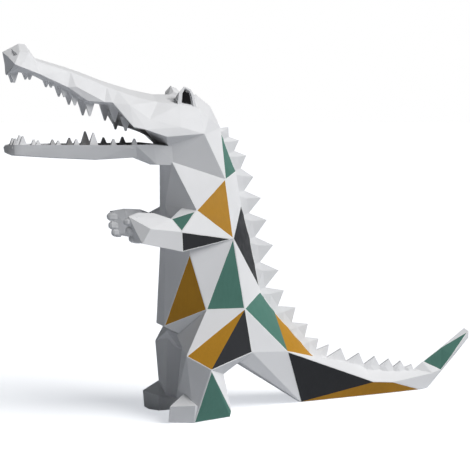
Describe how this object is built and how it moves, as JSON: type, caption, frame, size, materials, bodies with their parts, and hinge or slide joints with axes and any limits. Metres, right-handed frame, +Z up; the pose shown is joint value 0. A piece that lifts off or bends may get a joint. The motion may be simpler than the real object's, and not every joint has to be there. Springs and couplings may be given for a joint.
{
  "type": "crocodile sculpture",
  "caption": "Faceted upright crocodile figurine with open toothed jaws, a spiked back and a tail that it leans on, cast in one piece.",
  "frame": {"origin": "on the ground, under the middle of the figure's length and width", "axes": "+X towards the tail, so the crocodile faces -X; +Z up; +Y towards its left side"},
  "size_m": [0.33, 0.078, 0.2364],
  "materials": {
    "painted_resin": "matte white cast resin with facets painted green, mustard and charcoal"
  },
  "bodies": {
    "root": {"crocodile_sculpture": "painted_resin"}
  },
  "joints": []
}
